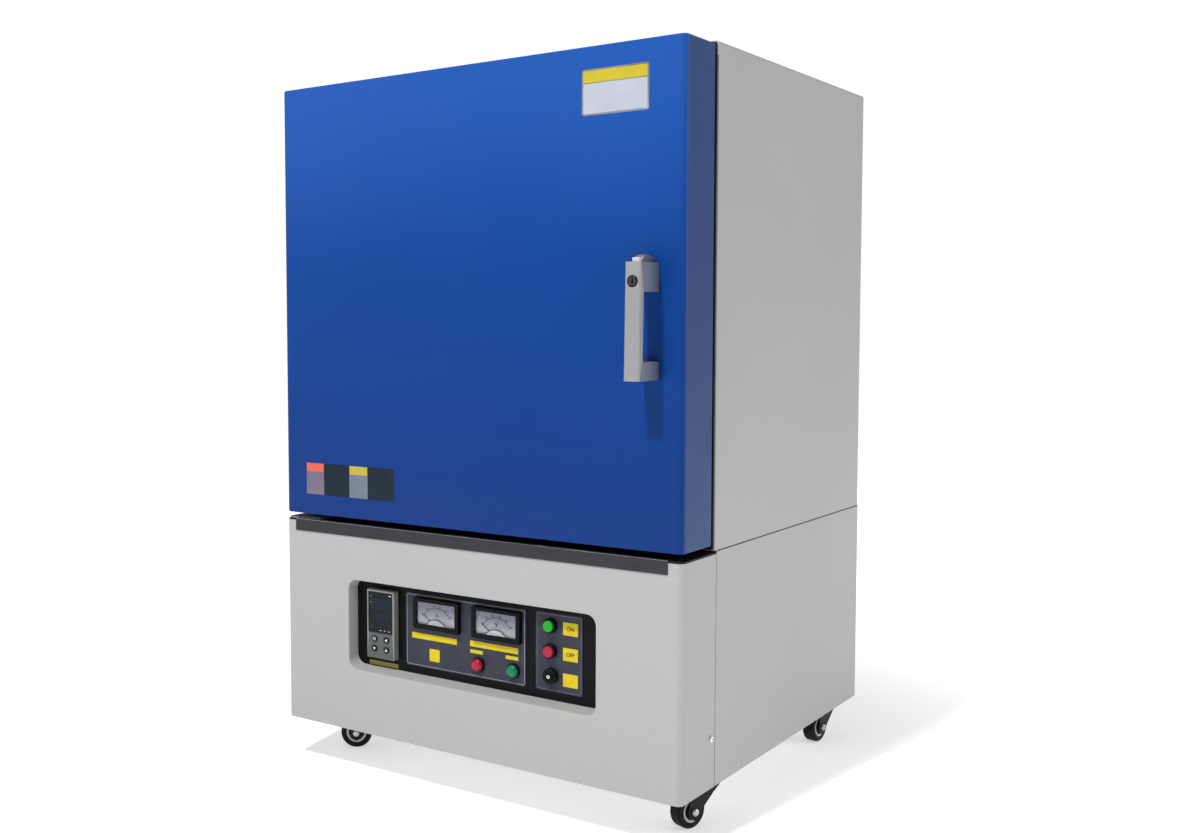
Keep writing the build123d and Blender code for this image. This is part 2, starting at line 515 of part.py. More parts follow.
rg = []
rx, ry = 60.0, 380.0
sink = box(rx - 55, rx + 55, ry - 60, ry + 60, 66, 74)
for i in range(11):
    x = rx - 54 + 10.55 * i
    sink += box(x, x + 2.6, ry - 60, ry + 60, 74, 104)
rg.append(sink)
rg.append(rrz(rx - 45, rx + 45, ry - 38, ry + 38, 4, 104, 136))
rg.append(box(rx - 30, rx + 30, ry - 25, ry + 25, 136, 150))
cx_, cy_ = 215.0, 300.0
con = rrz(cx_ - 30, cx_ + 30, cy_ - 38, cy_ + 38, 3, 66, 140) + rrz(cx_ - 24, cx_ + 24, cy_ - 24, cy_ + 24, 3, 139, 156)
rg.append(con)
save("power_regulator", rg)

gl = cyl("y", GX, GZ, Y_REAR - 14, Y_REAR + 6, 10) + cyl("y", GX, GZ, Y_REAR + 1.5, Y_REAR + 5.5, 14)
gl += Pos(GX, Y_REAR + 10, GZ) * Rot(90, 0, 0) * extrude(RegularPolygon(14, 6), amount=4.5, both=True)
gl += cyl("y", GX, GZ, Y_REAR + 14, Y_BACK, 11.5)
gl = fillet(gl.faces().sort_by(Axis.Y)[-1].edges(), 3)
gl += Pos(GX, Y_REAR - 6, GZ) * Rot(90, 0, 0) * extrude(RegularPolygon(14, 6), amount=3, both=True)
gl -= box(GX - 30, GX + 30, Y_REAR - 3, Y_REAR, GZ - 30, GZ - 10.0) & cyl("y", GX, GZ, Y_REAR - 3, Y_REAR, 30)
gl -= cyl("y", GX, GZ, Y_REAR - 20, Y_BACK + 5, 6.5)
save("cable_gland", gl)

fh = rry(FX - 60, FX + 60, FZ - 60, FZ + 60, 5, Y_REAR - 38, Y_REAR) - cyl("y", FX, FZ, Y_REAR - 39, Y_REAR + 1, 56)
for a in range(4):
    fh += (Pos(FX, Y_REAR - 36.5, FZ) * Rot(0, 90 * a, 0) * Pos(39, 0, 0) * Box(38, 3, 5))
fh += cyl("y", FX, FZ, Y_REAR - 38, Y_REAR - 34, 21)
fh += cyl("y", FX, FZ, Y_REAR - 35, Y_REAR - 6, 3)
save("fan_housing", fh)
ro = cyl("y", FX, FZ, Y_REAR - 32, Y_REAR - 5, 20)
for a in range(7):
    ro += Pos(FX, Y_REAR - 19, FZ) * Rot(0, a * 360 / 7, 0) * Pos(35.5, 0, 0) * Rot(40, 0, 0) * Box(34, 1.6, 26)
ro = ro & cyl("y", FX, FZ, Y_REAR - 33, Y_REAR - 4, 53)
ro -= cyl("y", FX, FZ, Y_REAR - 40, Y_REAR - 5.5 + 0.0, 3.06)
save("fan_rotor", ro)

# ------------------------------------------------------------------ casters
plates = []
for n, (cx, cy, ang) in enumerate(CASTERS):
    p = rrz(cx - 24, cx + 24, cy - 24, cy + 24, 3, 61, 64) + cyl("z", cx, cy, 57, 61, 16)
    p += cyl("z", cx, cy, 50, 67.5, 4) + cyl("z", cx, cy, 48.5, 51.7, 7)
    plates.append(p)
save("caster_plates", plates)


def caster_fork(cx, cy, ang):
    # built with the wheel towards +x from the pivot, axle along y, then turned
    f = cyl("z", 0, 0, 52, 56.7, 19) + box(0, 28, -13.2, 13.2, 52, 56.7)
    for s in (-1, 1):
        prof = [(-16, 56.7), (28, 56.7), (34, 50), (41, 24), (38, 15.5), (30, 11.5), (22, 15.5), (17, 24), (-2, 42), (-13, 50)]
        leg = pull([(x, s * 10.6, z) for x, z in prof], (0, s * 2.6, 0))
        f += leg
    f -= cyl("z", 0, 0, 40, 60, 4.05)
    f -= cyl("y", TRAIL, WH_R, -20, 20, 3.0)
    ax = cyl("y", TRAIL, WH_R, -15, 15, 3.0)
    for s in (-1, 1):
        c = cyl("y", TRAIL, WH_R, *sorted((s * 13.2, s * 16.8)), 5.2)
        c = fillet(c.faces().sort_by(Axis.Y)[-1 if s > 0 else 0].edges(), 2.6)
        ax += c
    place = Pos(cx, cy, 0) * Rot(0, 0, ang)
    return [place * f, place * ax]


def caster_wheel(cx, cy, ang):
    t = cyl("y", TRAIL, WH_R, -WH_W / 2, WH_W / 2, WH_R)
    t = fillet(t.edges().filter_by(GeomType.CIRCLE), 3.0)
    t -= cyl("y", TRAIL, WH_R, -20, 20, WH_RING)
    h = cyl("y", TRAIL, WH_R, -WH_W / 2, WH_W / 2, WH_RING)
    for s in (-1, 1):
        h -= cyl("y", TRAIL, WH_R, *sorted((s * (WH_W / 2 - 2.0), s * (WH_W / 2 + 1))), WH_RING - 3.2) - cyl("y", TRAIL, WH_R, *sorted((s * (WH_W / 2 - 2.5), s * (WH_W / 2 + 2))), 6.5)
    h -= cyl("y", TRAIL, WH_R, -20, 20, 3.06)
    place = Pos(cx, cy, 0) * Rot(0, 0, ang)
    return [place * t, place * h]


for n, c in enumerate(CASTERS):
    save(f"caster_fork_{n + 1}", caster_fork(*c))
    save(f"caster_wheel_{n + 1}", caster_wheel(*c))

# ------------------------------------------------------------------ screws
sc = [screw_x(*s) for s in SIDE_SCREWS]
sc += [screw_y(x, z, Y_REAR + 1.5) for x, z in REAR_LOW + REAR_UP]
save("cabinet_screws", sc)

print(len(NAMES), "nodes")
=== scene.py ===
import math

import bmesh
import bpy
from mathutils import Matrix, Vector


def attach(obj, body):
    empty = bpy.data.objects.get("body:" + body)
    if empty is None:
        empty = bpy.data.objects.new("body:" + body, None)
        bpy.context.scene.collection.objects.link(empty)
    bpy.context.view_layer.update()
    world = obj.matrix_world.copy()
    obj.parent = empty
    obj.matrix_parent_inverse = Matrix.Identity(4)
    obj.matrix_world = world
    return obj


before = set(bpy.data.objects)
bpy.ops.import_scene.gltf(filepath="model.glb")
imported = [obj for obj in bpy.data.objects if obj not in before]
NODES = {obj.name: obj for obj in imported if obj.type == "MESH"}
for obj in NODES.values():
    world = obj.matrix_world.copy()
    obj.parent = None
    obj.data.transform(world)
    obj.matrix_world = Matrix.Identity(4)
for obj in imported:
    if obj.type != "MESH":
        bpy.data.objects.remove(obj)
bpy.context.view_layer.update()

# ------------------------------------------------------------------ the CAD's working frame, in millimetres
Y_FRONT, Y_BACK = -48.6, 608.0
YC = (Y_FRONT + Y_BACK) / 2
CASTERS = [(-243.4, 114.6, 215.0), (285.5, 125.6, 251.0), (279.0, 555.8, 263.0), (-262.0, 516.0, 240.0)]
MET = (-55.1, 42.0)
MPZ = 223.8
FZ0, FZ1 = 226.4, 256.6
KEYS = [(-159.0, 195.7), (-137.9, 195.7), (-159.0, 182.0), (-137.9, 182.0)]


def P(x, y, z):
    return Vector((x / 1000, (y - YC) / 1000, z / 1000))


def L(v):
    return v[0] * 1000, v[1] * 1000 + YC, v[2] * 1000


# ------------------------------------------------------------------ node helpers
class Mat:
    def __init__(self, name):
        self.m = bpy.data.materials.new(name)
        self.m.use_nodes = True
        self.nt = self.m.node_tree
        self.nt.nodes.clear()
        self.out = self.nt.nodes.new("ShaderNodeOutputMaterial")
        self.b = self.nt.nodes.new("ShaderNodeBsdfPrincipled")
        self.nt.links.new(self.b.outputs[0], self.out.inputs[0])
        self.coord = self.nt.nodes.new("ShaderNodeTexCoord").outputs["Object"]

    def set(self, **kw):
        names = {"rough": "Roughness", "metal": "Metallic", "spec": "Specular IOR Level", "coat": "Coat Weight", "coat_rough": "Coat Roughness",
                 "ior": "IOR", "trans": "Transmission Weight", "aniso": "Anisotropic", "sheen": "Sheen Weight", "alpha": "Alpha", "emit": "Emission Strength"}
        for k, v in kw.items():
            if k == "color":
                self.b.inputs["Base Color"].default_value = (*v, 1)
            elif k == "emit_color":
                self.b.inputs["Emission Color"].default_value = (*v, 1)
            else:
                self.b.inputs[names[k]].default_value = v
        return self

    def link(self, out, name):
        self.nt.links.new(out, self.b.inputs[name])

    def mapped(self, scale=(1, 1, 1), rot=(0, 0, 0), loc=(0, 0, 0)):
        n = self.nt.nodes.new("ShaderNodeMapping")
        n.inputs["Scale"].default_value = scale
        n.inputs["Rotation"].default_value = rot
        n.inputs["Location"].default_value = loc
        self.nt.links.new(self.coord, n.inputs["Vector"])
        return n.outputs[0]

    def noise(self, scale, detail=2.0, rough=0.5, vec=None, dist=0.0):
        n = self.nt.nodes.new("ShaderNodeTexNoise")
        n.inputs["Scale"].default_value = scale
        n.inputs["Detail"].default_value = detail
        n.inputs["Roughness"].default_value = rough
        n.inputs["Distortion"].default_value = dist
        self.nt.links.new(vec or self.coord, n.inputs["Vector"])
        return n.outputs[0]

    def voronoi(self, scale, vec=None, feature="F1"):
        n = self.nt.nodes.new("ShaderNodeTexVoronoi")
        n.feature = feature
        n.inputs["Scale"].default_value = scale
        self.nt.links.new(vec or self.coord, n.inputs["Vector"])
        return n.outputs["Distance"]

    def ramp(self, fac, a, b, lo=0.0, hi=1.0):
        n = self.nt.nodes.new("ShaderNodeMapRange")
        n.interpolation_type = "SMOOTHSTEP"
        n.inputs["From Min"].default_value = a
        n.inputs["From Max"].default_value = b
        n.inputs["To Min"].default_value = lo
        n.inputs["To Max"].default_value = hi
        self.nt.links.new(fac, n.inputs["Value"])
        return n.outputs[0]

    def lin(self, fac, a, b, lo=0.0, hi=1.0):
        n = self.nt.nodes.new("ShaderNodeMapRange")
        n.inputs["From Min"].default_value = a
        n.inputs["From Max"].default_value = b
        n.inputs["To Min"].default_value = lo
        n.inputs["To Max"].default_value = hi
        self.nt.links.new(fac, n.inputs["Value"])
        return n.outputs[0]

    def math(self, op, a, b=None, c=None):
        n = self.nt.nodes.new("ShaderNodeMath")
        n.operation = op
        for i, v in enumerate((a, b, c)):
            if v is None:
                continue
            if isinstance(v, (int, float)):
                n.inputs[i].default_value = v
            else:
                self.nt.links.new(v, n.inputs[i])
        return n.outputs[0]

    def mix(self, fac, a, b):
        n = self.nt.nodes.new("ShaderNodeMix")
        n.data_type = "RGBA"
        for key, v in ((0, fac), (6, a), (7, b)):
            if isinstance(v, (int, float)):
                n.inputs[key].default_value = v
            elif isinstance(v, tuple):
                n.inputs[key].default_value = (*v, 1)
            else:
                self.nt.links.new(v, n.inputs[key])
        return n.outputs[2]

    def xyz(self):
        n = self.nt.nodes.new("ShaderNodeSeparateXYZ")
        self.nt.links.new(self.coord, n.inputs[0])
        return n.outputs

    def bump(self, height, strength, distance, normal=None):
        n = self.nt.nodes.new("ShaderNodeBump")
        n.inputs["Strength"].default_value = strength
        n.inputs["Distance"].default_value = distance
        self.nt.links.new(height, n.inputs["Height"])
        if normal is not None:
            self.nt.links.new(normal, n.inputs["Normal"])
        return n.outputs[0]

    def bevel(self, radius):
        n = self.nt.nodes.new("ShaderNodeBevel")
        n.samples = 4
        n.inputs["Radius"].default_value = radius
        return n.outputs[0]

    def edge(self, radius):
        # how far the rounded normal leans from the flat one: bright along outer edges
        g = self.nt.nodes.new("ShaderNodeNewGeometry")
        n = self.nt.nodes.new("ShaderNodeVectorMath")
        n.operation = "DOT_PRODUCT"
        self.nt.links.new(self.bevel(radius), n.inputs[0])
        self.nt.links.new(g.outputs["Normal"], n.inputs[1])
        return self.lin(n.outputs["Value"], 1.0, 0.75, 0.0, 1.0)


def scaled(c, k):
    return tuple(min(1.0, v * k) for v in c)


def powder(name, col, rough=0.42, peel=520, depth=0.00010, strength=0.5, var=0.05, coat=0.0, bevel=0.0007, wear=0.35, spec=0.5, specks=0.5, tone=None):
    m = Mat(name)
    cloud = m.ramp(m.noise(2.2, 3, 0.6), 0.3, 0.7)
    c = m.mix(cloud, scaled(col, 1 - var), scaled(col, 1 + var))
    mott = m.ramp(m.noise(95, 4, 0.6), 0.35, 0.65)
    c = m.mix(m.math("MULTIPLY", mott, 0.35), c, scaled(col, 1 - var * 1.6))
    fine = m.ramp(m.noise(1500, 2, 0.6), 0.60, 0.72)
    c = m.mix(m.math("MULTIPLY", fine, 0.25 * specks), c, scaled(col, 0.72))
    dots = m.ramp(m.noise(420, 1, 0.4), 0.735, 0.775)
    c = m.mix(m.math("MULTIPLY", dots, 0.35 * specks), c, scaled(col, 0.6))
    edge = m.edge(bevel)
    broken = m.ramp(m.noise(260, 3, 0.7), 0.42, 0.62)
    c = m.mix(m.math("MULTIPLY", m.math("MULTIPLY", edge, broken), wear), c, scaled(col, 1.5))
    if tone:
        c = tone(m, c)
    m.link(c, "Base Color")
    r = m.lin(m.noise(6, 3, 0.6), 0.3, 0.7, rough - 0.04, rough + 0.05)
    r = m.math("ADD", r, m.math("MULTIPLY", fine, 0.08))
    m.link(r, "Roughness")
    h = m.math("ADD", m.noise(peel, 2, 0.55), m.math("MULTIPLY", m.noise(peel * 3.2, 1, 0.5), 0.25))
    h = m.math("ADD", h, m.math("MULTIPLY", m.noise(14, 2, 0.5), 1.2))
    m.link(m.bump(h, strength, depth, m.bevel(bevel)), "Normal")
    m.set(coat=coat, coat_rough=0.18, spec=spec)
    return m


def metal(name, col, rough=0.32, along=(1, 1, 1), stretch=60.0, freq=900, metal_=1.0, bevel=0.0004, wear=0.3, strength=0.35, var=0.18, aniso=0.0):
    m = Mat(name)
    sc = tuple(1.0 / stretch if a else 1.0 for a in along)
    v = m.mapped(scale=sc)
    streak = m.noise(freq, 3, 0.65, vec=v)
    broad = m.noise(freq / 9, 2, 0.5, vec=v)
    c = m.mix(m.ramp(streak, 0.25, 0.75), scaled(col, 1 - var), scaled(col, 1 + var))
    c = m.mix(m.math("MULTIPLY", m.ramp(broad, 0.3, 0.7), 0.35), c, scaled(col, 0.82))
    smudge = m.ramp(m.noise(24, 4, 0.6), 0.5, 0.72)
    c = m.mix(m.math("MULTIPLY", smudge, 0.22), c, scaled(col, 0.7))
    c = m.mix(m.math("MULTIPLY", m.edge(bevel), wear), c, scaled(col, 1.5))
    m.link(c, "Base Color")
    r = m.lin(streak, 0.25, 0.75, rough - 0.07, rough + 0.09)
    r = m.math("ADD", r, m.math("MULTIPLY", smudge, 0.10))
    m.link(r, "Roughness")
    m.link(m.bump(streak, strength, 0.00004, m.bevel(bevel)), "Normal")
    m.set(metal=metal_, aniso=aniso)
    return m


def plastic(name, col, rough=0.45, grain=1400, depth=0.00004, strength=0.45, var=0.08, coat=0.0, bevel=0.0003, spec=0.5, wear=0.25, dust=0.08, trans=0.0, metal_=0.0):
    m = Mat(name)
    c = m.mix(m.ramp(m.noise(40, 3, 0.6), 0.3, 0.7), scaled(col, 1 - var), scaled(col, 1 + var))
    d = m.ramp(m.noise(700, 3, 0.7), 0.58, 0.74)
    c = m.mix(m.math("MULTIPLY", d, dust), c, (0.35, 0.34, 0.32))
    c = m.mix(m.math("MULTIPLY", m.edge(bevel), wear), c, scaled([v + 0.02 for v in col], 1.9))
    m.link(c, "Base Color")
    r = m.lin(m.noise(120, 3, 0.6), 0.3, 0.7, max(0.02, rough - 0.05), rough + 0.06)
    m.link(r, "Roughness")
    h = m.math("ADD", m.noise(grain, 2, 0.5), m.math("MULTIPLY", m.voronoi(grain * 0.8), 0.4))
    m.link(m.bump(h, strength, depth, m.bevel(bevel)), "Normal")
    m.set(coat=coat, coat_rough=0.08, spec=spec, trans=trans, metal=metal_)
    return m


def fibre(name, col, rough=0.95):
    m = Mat(name)
    strands = m.noise(320, 5, 0.7, vec=m.mapped(scale=(1, 1, 3.5)), dist=1.2)
    lumps = m.noise(38, 4, 0.6)
    c = m.mix(m.ramp(strands, 0.3, 0.7), scaled(col, 0.9), scaled(col, 1.05))
    c = m.mix(m.math("MULTIPLY", m.ramp(lumps, 0.5, 0.75), 0.35), c, scaled(col, 0.82))
    m.link(c, "Base Color")
    h = m.math("ADD", m.math("MULTIPLY", strands, 0.5), lumps)
    m.link(m.bump(h, 0.8, 0.0012, m.bevel(0.002)), "Normal")
    m.link(m.lin(strands, 0.2, 0.8, rough - 0.08, rough), "Roughness")
    m.set(spec=0.15)
    return m


# ------------------------------------------------------------------ materials
CAB = (0.385, 0.385, 0.381)


def seam_tone(m, c):
    # painted shade: a dark line along the sheet edges of the two seams on each side, standing in for the shadow in the
    # seam gaps
    x, y, z = m.xyz()
    side = m.ramp(m.math("ABSOLUTE", x), 0.3122, 0.3128)
    level = m.ramp(m.math("ABSOLUTE", m.math("SUBTRACT", z, 0.3547)), 0.0013, 0.0006)
    upright = m.math("MULTIPLY", m.ramp(m.math("ABSOLUTE", m.math("ADD", y, 0.1888)), 0.0010, 0.0004), m.ramp(z, 0.3550, 0.3544))
    k = m.math("MULTIPLY", side, m.math("MAXIMUM", level, m.math("MULTIPLY", upright, 0.6)))
    return m.mix(m.math("MULTIPLY", k, 0.85), c, (0.030, 0.030, 0.030))


paint = powder("cabinet_paint", CAB, rough=0.48, peel=480, depth=0.00009, strength=0.45, var=0.022, wear=0.25, spec=0.35, tone=seam_tone)


def door_tone(m, c):
    # painted light and shade: the blue is lighter toward the top of the door and darker toward the foot, as light from
    # above falls on it, with a few pale rubbed flecks
    x, y, z = m.xyz()
    lit_top = m.ramp(m.math("ADD", z, m.math("MULTIPLY", m.noise(3.0, 2, 0.5), 0.10)), 0.72, 1.00)
    c = m.mix(m.math("MULTIPLY", lit_top, 0.62), c, (0.016, 0.082, 0.345))
    foot = m.ramp(m.math("ADD", z, m.math("MULTIPLY", m.noise(3.5, 2, 0.5), 0.08)), 0.72, 0.40)
    c = m.mix(m.math("MULTIPLY", foot, 0.62), c, (0.0018, 0.024, 0.150))
    fleck = m.ramp(m.noise(330, 2, 0.5), 0.745, 0.785)
    return m.mix(m.math("MULTIPLY", fleck, 0.35), c, (0.10, 0.20, 0.46))


blue = powder("door_paint", (0.0020, 0.042, 0.222), rough=0.36, peel=560, depth=0.00008, strength=0.5, var=0.05, coat=0.0, wear=0.35, specks=0.6, spec=0.14, tone=door_tone)
# the door's right return catches less light and looks greyer
blue_side = powder("door_paint_return", (0.028, 0.062, 0.182), rough=0.42, peel=560, depth=0.00008, strength=0.5, var=0.05, wear=0.35, specks=0.6, spec=0.14)
sill = metal("sill_steel", (0.052, 0.052, 0.059), rough=0.38, along=(1, 0, 0), stretch=80, freq=1100, bevel=0.0006, wear=0.5)
# painted highlight: the strip's top faces get a much brighter copy of the steel for the bright line along its top edge
sill_lit_top = metal("sill_steel_painted_highlight", (0.52, 0.53, 0.55), rough=0.26, along=(1, 0, 0), stretch=80, freq=1100, bevel=0.0006, wear=0.6)
# painted shade: this near-black finish goes on the deck under the door, the front frame, the seam strips and the gap
# band, standing in for the shade that falls there
charcoal = powder("near_black_painted_shade", (0.012, 0.012, 0.014), rough=0.55, peel=700, depth=0.00006, var=0.15, wear=0.1, specks=0.3, spec=0.2)
zinc = metal("zinc_steel", (0.50, 0.51, 0.52), rough=0.36, along=(0, 0, 0), freq=120, strength=0.2, var=0.12)
stainless = metal("stainless", (0.46, 0.46, 0.46), rough=0.33, along=(0, 0, 1), stretch=70, freq=1000)
fib = fibre("fibre", (0.80, 0.78, 0.72))
gasket = fibre("gasket", (0.62, 0.59, 0.52))
hearth = plastic("hearth", (0.70, 0.64, 0.54), rough=0.8, grain=500, depth=0.0003, var=0.08, dust=0.2, bevel=0.001)
element = plastic("element", (0.09, 0.09, 0.095), rough=0.28, grain=300, depth=0.0001, var=0.2, dust=0.1)
alloy = metal("alloy", (0.68, 0.69, 0.70), rough=0.3, along=(0, 1, 0), stretch=20, freq=700)
sheath = plastic("sheath", (0.78, 0.74, 0.66), rough=0.7, grain=600, depth=0.0001)
handle = powder("handle_silver", (0.315, 0.315, 0.322), rough=0.36, peel=900, depth=0.00004, strength=0.4, var=0.05, bevel=0.0009, wear=0.5, specks=0.3)
handle.set(metal=0.25)
# painted shade: the legs' side faces get a darker, bluish copy of the handle silver for the shade beside the legs
handle_side_painted_shade = powder("handle_side_painted_shade", (0.135, 0.155, 0.205), rough=0.42, peel=900, depth=0.00004, strength=0.4, var=0.06, bevel=0.0009, wear=0.4, specks=0.3)
btn_white = plastic("button_white", (0.62, 0.63, 0.64), rough=0.3, coat=0.3, dust=0.03)
# painted shade: a dark grey copy of the button plastic, put on its shaded hump
btn_shaded = plastic("button_painted_shade", (0.14, 0.15, 0.18), rough=0.4, dust=0.03)
lock_plate = metal("lock_slot_plate", (0.085, 0.085, 0.09), rough=0.42, along=(0, 0, 1), freq=500, wear=0.3)
lock = metal("lock_dark", (0.045, 0.045, 0.05), rough=0.36, along=(0, 0, 0), freq=500, wear=0.6)
black = powder("panel_black", (0.0025, 0.0025, 0.004), rough=0.5, peel=800, depth=0.00005, var=0.2, wear=0.05, specks=0.3, spec=0.12)
fascia = plastic("fascia", (0.030, 0.034, 0.052), rough=0.42, grain=900, depth=0.00002, strength=0.3, var=0.10, dust=0.03, spec=0.2)
fascia_line = plastic("fascia_line", (0.27, 0.29, 0.33), rough=0.45, dust=0.02, spec=0.2)
fascia_line2 = plastic("fascia_line_right", (0.10, 0.115, 0.14), rough=0.45, dust=0.02, spec=0.2)
pl_black = plastic("plastic_black", (0.0025, 0.0025, 0.0032), rough=0.42, coat=0.0, dust=0.008, wear=0.12, spec=0.10)
pl_grey = plastic("controller_bezel", (0.225, 0.225, 0.212), rough=0.42, dust=0.05, wear=0.6, spec=0.3)
pl_mid = plastic("controller_keypad", (0.085, 0.095, 0.095), rough=0.5, dust=0.08, spec=0.25)
window = plastic("window_dark", (0.0016, 0.0034, 0.0085), rough=0.14, grain=200, depth=0.00001, strength=0.1, coat=0.0, dust=0.01, wear=0.05, spec=0.15)
digit = plastic("digit_off", (0.010, 0.030, 0.060), rough=0.3, dust=0.0, spec=0.1)
key_grey = plastic("key_dark", (0.004, 0.008, 0.011), rough=0.4, dust=0.01, wear=0.1, spec=0.14)
ink = plastic("ink_black", (0.006, 0.006, 0.007), rough=0.5, dust=0.0, wear=0.0)
pivot_pale = plastic("pivot_pale", (0.70, 0.70, 0.72), rough=0.45, grain=500, dust=0.0, wear=0.0, var=0.03)
ink_white = plastic("ink_white", (0.70, 0.71, 0.72), rough=0.5, dust=0.0, wear=0.0)
yellow = plastic("label_yellow", (0.60, 0.47, 0.010), rough=0.5, spec=0.2, grain=700, depth=0.00002, var=0.07, dust=0.05, wear=0.1)
olive = plastic("label_olive", (0.24, 0.20, 0.012), rough=0.45, var=0.1, dust=0.08, wear=0.1)
dial = plastic("dial_white_painted_shadow", (0.42, 0.42, 0.50), rough=0.45, grain=500, depth=0.00001, var=0.03, dust=0.02, wear=0.0)
# painted shadow: the dial face is darker toward its top, standing in for the bezel's shadow, and lighter toward its
# bottom edge
dz = dial.ramp(dial.xyz()[2], 0.252, 0.228)
dtex = dial.ramp(dial.noise(900, 3, 0.6), 0.3, 0.7, 0.96, 1.04)
dial_shadowed = dial.mix(dz, (0.22, 0.215, 0.30), (0.56, 0.56, 0.62))
dsc = dial.nt.nodes.new("ShaderNodeVectorMath")
dsc.operation = "MULTIPLY"
dial.nt.links.new(dial_shadowed, dsc.inputs[0])
dial.nt.links.new(dtex, dsc.inputs[1])
dial.link(dsc.outputs[0], "Base Color")
red_lens = plastic("lens_red", (0.36, 0.006, 0.028), rough=0.3, grain=300, depth=0.00005, coat=0.0, dust=0.02, var=0.15, spec=0.3)
green_lens = plastic("lens_green", (0.002, 0.17, 0.075), rough=0.3, grain=300, depth=0.00005, coat=0.0, dust=0.02, var=0.15, spec=0.3)
red_btn = plastic("button_red", (0.34, 0.010, 0.035), rough=0.4, dust=0.04, spec=0.25)
green_btn = plastic("button_green", (0.006, 0.32, 0.012), rough=0.4, dust=0.04, spec=0.25)
ring_dark = plastic("ring_dark", (0.0035, 0.0035, 0.0045), rough=0.38, grain=500, dust=0.01, wear=0.25, spec=0.12)
chrome = metal("chrome", (0.75, 0.75, 0.76), rough=0.14, along=(0, 0, 0), freq=300, strength=0.1, var=0.05)
core = plastic("core", (0.05, 0.04, 0.035), rough=0.5, grain=400, depth=0.0002)
copper = metal("winding", (0.45, 0.20, 0.08), rough=0.35, along=(1, 1, 0), stretch=30, freq=900)
heatsink = metal("heatsink", (0.55, 0.55, 0.57), rough=0.4, along=(0, 1, 0), stretch=50, freq=700)
gland = plastic("gland", (0.015, 0.015, 0.016), rough=0.5)
fan_black = plastic("fan_black", (0.012, 0.012, 0.013), rough=0.5)
fork_black = powder("fork_black", (0.0028, 0.0028, 0.0032), rough=0.34, peel=700, depth=0.00006, var=0.2, wear=0.5, specks=0.3, spec=0.16)
bolt = metal("bolt", (0.42, 0.42, 0.43), rough=0.22, along=(0, 0, 0), freq=300, wear=0.5)
rubber = plastic("rubber", (0.0035, 0.0035, 0.0038), rough=0.5, grain=900, depth=0.0001, strength=0.6, var=0.2, dust=0.04, wear=0.15, bevel=0.0006, spec=0.14)
ring_pale = plastic("ring_pale", (0.52, 0.52, 0.46), rough=0.5, dust=0.15)
sticker_white = plastic("sticker_white", (0.36, 0.39, 0.45), rough=0.35, grain=500, depth=0.00002, var=0.03, dust=0.02, spec=0.3)
sticker_edge = metal("sticker_edge", (0.62, 0.63, 0.66), rough=0.3, along=(1, 0, 0), freq=900)
st_yellow = plastic("sticker_yellow", (0.43, 0.345, 0.022), rough=0.35, var=0.05, dust=0.03, spec=0.3)
st_orange = plastic("strip_orange", (0.60, 0.09, 0.05), rough=0.4, var=0.06, dust=0.04)
st_mauve = plastic("strip_mauve", (0.13, 0.11, 0.16), rough=0.45, var=0.08, dust=0.05)
st_grey = plastic("strip_grey", (0.12, 0.15, 0.20), rough=0.45, var=0.08, dust=0.05)
st_navy = plastic("strip_navy", (0.010, 0.020, 0.030), rough=0.4, var=0.15, dust=0.05, spec=0.1)

glass = Mat("clear_window")
glass.link(glass.mix(glass.ramp(glass.noise(60, 3), 0.4, 0.7), (0.98, 0.99, 1.0), (0.93, 0.95, 0.97)), "Base Color")
glass.link(glass.lin(glass.noise(200, 3), 0.3, 0.7, 0.02, 0.06), "Roughness")
glass.link(glass.bump(glass.noise(40, 2), 0.15, 0.00005), "Normal")
glass.set(trans=1.0, ior=1.25)


def dress(node, *mats, choose=None):
    o = NODES[node]
    o.data.materials.clear()
    for m in mats:
        o.data.materials.append(m.m)
    for p in o.data.polygons:
        p.material_index = choose(L(p.center), p.normal) if choose else 0
    return o


# painted shade: the deck under the door is dressed near-black for the door's shadow on it
dress("deck_plate", charcoal)
for n in ("lower_front_panel", "lower_side_panels", "base_frame", "lower_rear_panel", "upper_casing", "upper_rear_panel"):
    dress(n, paint)
# painted highlight: upward faces of the sill strip take the bright copy
dress("sill_strip", sill, sill_lit_top, choose=lambda c, n: 1 if n[2] > 0.25 else 0)
# painted shade: the front frame is dressed near-black so the gap around the door reads dark
dress("upper_front_frame", charcoal)
dress("inner_casing", zinc)
for n in ("insulation_floor", "insulation_walls", "door_insulation"):
    dress(n, fib)
dress("insulation_roof", fib, sheath, choose=lambda c, n: 1 if c[2] > 849.5 else 0)
dress("door_gasket", gasket)
dress("hearth_plate", hearth)
dress("heating_elements", element, alloy, choose=lambda c, n: 1 if c[2] > 862 else 0)
dress("element_clamps", alloy)
dress("thermocouple", sheath, alloy, choose=lambda c, n: 1 if c[2] > 889.9 or 849 < c[2] < 854.5 and math.hypot(c[0], c[1] - 250) > 4.2 else 0)
dress("latch_striker", zinc)
dress("hinge_brackets", paint, zinc, choose=lambda c, n: 1 if (361.5 < c[2] < 962.5 and c[1] < 60 and math.hypot(c[0] + 292, c[1] - 35) < 9.5) else 0)
dress("door_shell", blue, blue_side, choose=lambda c, n: 1 if n[0] > 0.93 and c[0] > 314.5 else 0)
dress("door_back_panel", stainless)
dress("door_fittings", zinc)
# painted shade: side faces of the legs take the darker copy
dress("handle_body", handle, handle_side_painted_shade, choose=lambda c, n: 1 if abs(n[0]) > 0.7 and c[1] > -38.5 else 0)
